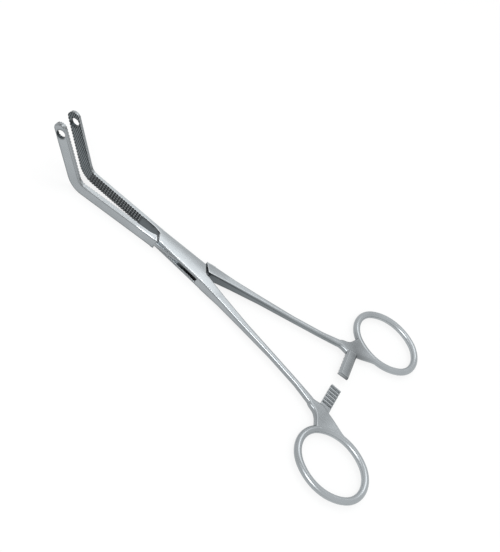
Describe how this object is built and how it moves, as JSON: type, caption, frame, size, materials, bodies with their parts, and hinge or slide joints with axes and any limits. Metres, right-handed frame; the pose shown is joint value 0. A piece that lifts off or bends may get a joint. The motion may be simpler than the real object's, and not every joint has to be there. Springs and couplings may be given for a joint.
{
  "type": "bone graft holder forceps",
  "caption": "Ring-handled forceps with a box lock, a finger ratchet and long serrated jaws bent upwards, each drilled near its end.",
  "frame": {"origin": "on the pivot pin's axis, on the underside of the box lock", "axes": "+X from the pivot towards the jaws, +Z along the pivot pin towards the side that the jaws bend to, +Y towards the jaw of the through arm"},
  "size_m": [0.1975, 0.1112, 0.027],
  "materials": {
    "box_arm": "satin blasted and brushed stainless steel",
    "through_arm": "satin blasted and brushed stainless steel",
    "pivot_pin": "stainless steel rivet ground flush"
  },
  "bodies": {
    "box_side": {"box_arm": "box_arm", "pivot_pin": "pivot_pin"},
    "through_side": {"through_arm": "through_arm"}
  },
  "joints": [
    {"name": "lock_hinge", "type": "hinge", "parent": "box_side", "child": "through_side", "pos_m": [0, 0, 0], "axis": [0, 0, 1], "range_deg": [-6.6, 20]}
  ]
}
